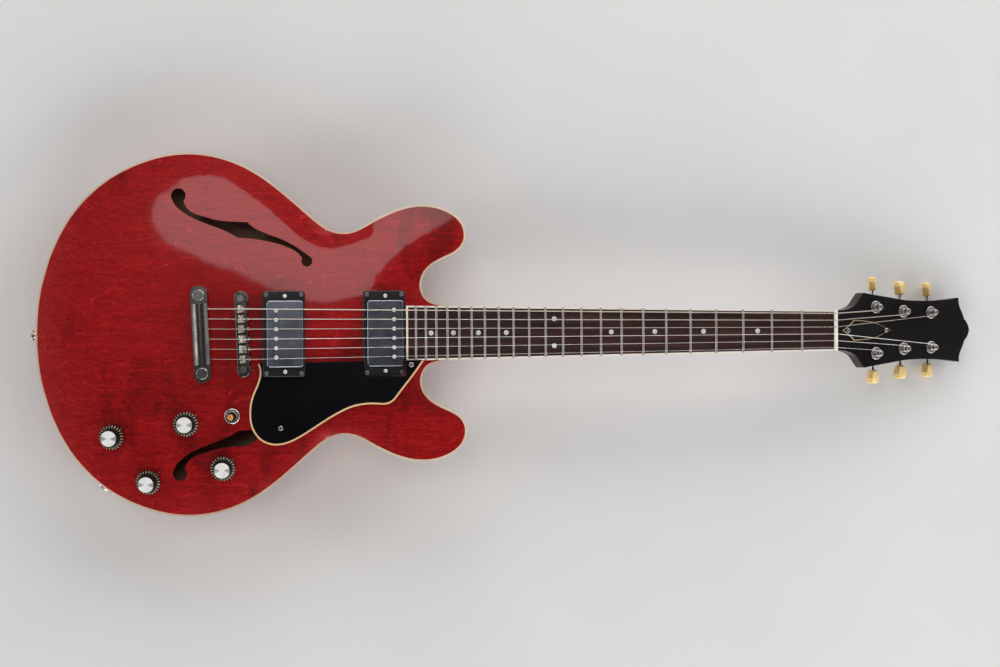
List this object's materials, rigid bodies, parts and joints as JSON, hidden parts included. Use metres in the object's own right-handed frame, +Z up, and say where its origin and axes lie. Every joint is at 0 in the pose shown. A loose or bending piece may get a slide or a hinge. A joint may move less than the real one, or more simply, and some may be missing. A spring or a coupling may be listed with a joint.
{
  "type": "semi-hollow electric guitar",
  "caption": "Semi-hollow electric guitar with a double-cutaway arched body, sound holes, set neck, tilted headstock, covered pickups, stop tailpiece and turning tuners and knobs.",
  "frame": {"origin": "middle of the bounding box, on the ground that the back rests on", "axes": "+X to the headstock, +Y to the bass side, +Z up, away from the back"},
  "size_m": [1.0302, 0.3848, 0.0967],
  "materials": {
    "maple_red": "clear gloss",
    "maple": "raw",
    "mahogany_red": "clear gloss",
    "rosewood": "oiled",
    "cream_plastic": "gloss",
    "pearl_plastic": "pearl",
    "ivory_plastic": "gloss",
    "amber_plastic": "gloss",
    "black_plastic": "gloss",
    "nickel": "aged",
    "steel": "satin",
    "bone": "polished"
  },
  "bodies": {
    "guitar": {"back_plate": "maple_red", "body_binding": "cream_plastic", "bridge_and_tailpiece_studs": "nickel", "bridge_body": "nickel", "bridge_saddles": "nickel", "centre_block": "maple", "control_hardware": "nickel", "fingerboard": "rosewood", "fingerboard_binding": "cream_plastic", "frets": "steel", "headstock_veneer": "black_plastic", "linings": "maple", "neck": "mahogany_red", "nut": "bone", "output_jack": "nickel", "pickguard": "black_plastic", "pickup_cores": "black_plastic", "pickup_covers": "nickel", "pickup_rings": "black_plastic", "pickup_screws": "nickel", "plastic_edges": "cream_plastic", "position_markers": "pearl_plastic", "rim": "maple_red", "strap_buttons_and_screws": "nickel", "strings_plain": "steel", "strings_wound": "steel", "tailpiece": "nickel", "top_plate": "maple_red", "truss_rod": "steel", "truss_rod_cover": "black_plastic", "tuner_bushings": "nickel", "tuner_housings": "nickel"},
    "tuner_key_body_1": {"tuner_key_1": "nickel", "tuner_button_1": "ivory_plastic"},
    "string_post_body_1": {"tuner_post_1": "nickel"},
    "tuner_key_body_2": {"tuner_key_2": "nickel", "tuner_button_2": "ivory_plastic"},
    "string_post_body_2": {"tuner_post_2": "nickel"},
    "tuner_key_body_3": {"tuner_key_3": "nickel", "tuner_button_3": "ivory_plastic"},
    "string_post_body_3": {"tuner_post_3": "nickel"},
    "tuner_key_body_4": {"tuner_key_4": "nickel", "tuner_button_4": "ivory_plastic"},
    "string_post_body_4": {"tuner_post_4": "nickel"},
    "tuner_key_body_5": {"tuner_key_5": "nickel", "tuner_button_5": "ivory_plastic"},
    "string_post_body_5": {"tuner_post_5": "nickel"},
    "tuner_key_body_6": {"tuner_key_6": "nickel", "tuner_button_6": "ivory_plastic"},
    "string_post_body_6": {"tuner_post_6": "nickel"},
    "knob_body_1": {"knob_1": "black_plastic", "knob_cap_and_shaft_1": "nickel"},
    "knob_body_2": {"knob_2": "black_plastic", "knob_cap_and_shaft_2": "nickel"},
    "knob_body_3": {"knob_3": "black_plastic", "knob_cap_and_shaft_3": "nickel"},
    "knob_body_4": {"knob_4": "black_plastic", "knob_cap_and_shaft_4": "nickel"},
    "switch_body": {"switch_lever": "nickel", "switch_tip": "amber_plastic"}
  },
  "joints": [
    {"name": "tuner_key_1_turn", "type": "hinge", "parent": "guitar", "child": "tuner_key_body_1", "pos_m": [0.39941, 0.0253, 0.03195], "axis": [0, 1, 0], "continuous": true},
    {"name": "string_post_1_turn", "type": "hinge", "parent": "guitar", "child": "string_post_body_1", "pos_m": [0.39068, 0.0253, 0.03485], "axis": [0.3159, 0, 0.9488], "continuous": true},
    {"name": "tuner_key_2_turn", "type": "hinge", "parent": "guitar", "child": "tuner_key_body_2", "pos_m": [0.43395, 0.02055, 0.02045], "axis": [0, 1, 0], "continuous": true},
    {"name": "string_post_2_turn", "type": "hinge", "parent": "guitar", "child": "string_post_body_2", "pos_m": [0.42522, 0.02055, 0.02335], "axis": [0.3159, 0, 0.9488], "continuous": true},
    {"name": "tuner_key_3_turn", "type": "hinge", "parent": "guitar", "child": "tuner_key_body_3", "pos_m": [0.46848, 0.0193, 0.00895], "axis": [0, 1, 0], "continuous": true},
    {"name": "string_post_3_turn", "type": "hinge", "parent": "guitar", "child": "string_post_body_3", "pos_m": [0.45975, 0.0193, 0.01185], "axis": [0.3159, 0, 0.9488], "continuous": true},
    {"name": "tuner_key_4_turn", "type": "hinge", "parent": "guitar", "child": "tuner_key_body_4", "pos_m": [0.46848, -0.0193, 0.00895], "axis": [0, -1, 0], "continuous": true},
    {"name": "string_post_4_turn", "type": "hinge", "parent": "guitar", "child": "string_post_body_4", "pos_m": [0.45975, -0.0193, 0.01185], "axis": [0.3159, 0, 0.9488], "continuous": true},
    {"name": "tuner_key_5_turn", "type": "hinge", "parent": "guitar", "child": "tuner_key_body_5", "pos_m": [0.43395, -0.02055, 0.02045], "axis": [0, -1, 0], "continuous": true},
    {"name": "string_post_5_turn", "type": "hinge", "parent": "guitar", "child": "string_post_body_5", "pos_m": [0.42522, -0.02055, 0.02335], "axis": [0.3159, 0, 0.9488], "continuous": true},
    {"name": "tuner_key_6_turn", "type": "hinge", "parent": "guitar", "child": "tuner_key_body_6", "pos_m": [0.39941, -0.0253, 0.03195], "axis": [0, -1, 0], "continuous": true},
    {"name": "string_post_6_turn", "type": "hinge", "parent": "guitar", "child": "string_post_body_6", "pos_m": [0.39068, -0.0253, 0.03485], "axis": [0.3159, 0, 0.9488], "continuous": true},
    {"name": "knob_1_turn", "type": "hinge", "parent": "guitar", "child": "knob_body_1", "pos_m": [-0.42613, -0.1071, 0.06545], "axis": [-0.1324, -0.0736, 0.9885], "range_deg": [-150, 150]},
    {"name": "knob_2_turn", "type": "hinge", "parent": "guitar", "child": "knob_body_2", "pos_m": [-0.34842, -0.094, 0.07284], "axis": [-0.0591, -0.0314, 0.9978], "range_deg": [-150, 150]},
    {"name": "knob_3_turn", "type": "hinge", "parent": "guitar", "child": "knob_body_3", "pos_m": [-0.38836, -0.1547, 0.06515], "axis": [-0.1076, -0.1374, 0.9847], "range_deg": [-150, 150]},
    {"name": "knob_4_turn", "type": "hinge", "parent": "guitar", "child": "knob_body_4", "pos_m": [-0.31039, -0.1408, 0.07158], "axis": [-0.0214, -0.1097, 0.9937], "range_deg": [-150, 150]},
    {"name": "pickup_switch_tilt", "type": "hinge", "parent": "guitar", "child": "switch_body", "pos_m": [-0.30032, -0.08609, 0.07852], "axis": [-0.0015, 0.9995, 0.0311], "range_deg": [-9, 9]}
  ],
  "couplings": [
    {"joint": "string_post_1_turn", "follows": "tuner_key_1_turn", "ratio": 0.071429},
    {"joint": "string_post_2_turn", "follows": "tuner_key_2_turn", "ratio": 0.071429},
    {"joint": "string_post_3_turn", "follows": "tuner_key_3_turn", "ratio": 0.071429},
    {"joint": "string_post_4_turn", "follows": "tuner_key_4_turn", "ratio": 0.071429},
    {"joint": "string_post_5_turn", "follows": "tuner_key_5_turn", "ratio": 0.071429},
    {"joint": "string_post_6_turn", "follows": "tuner_key_6_turn", "ratio": 0.071429}
  ]
}
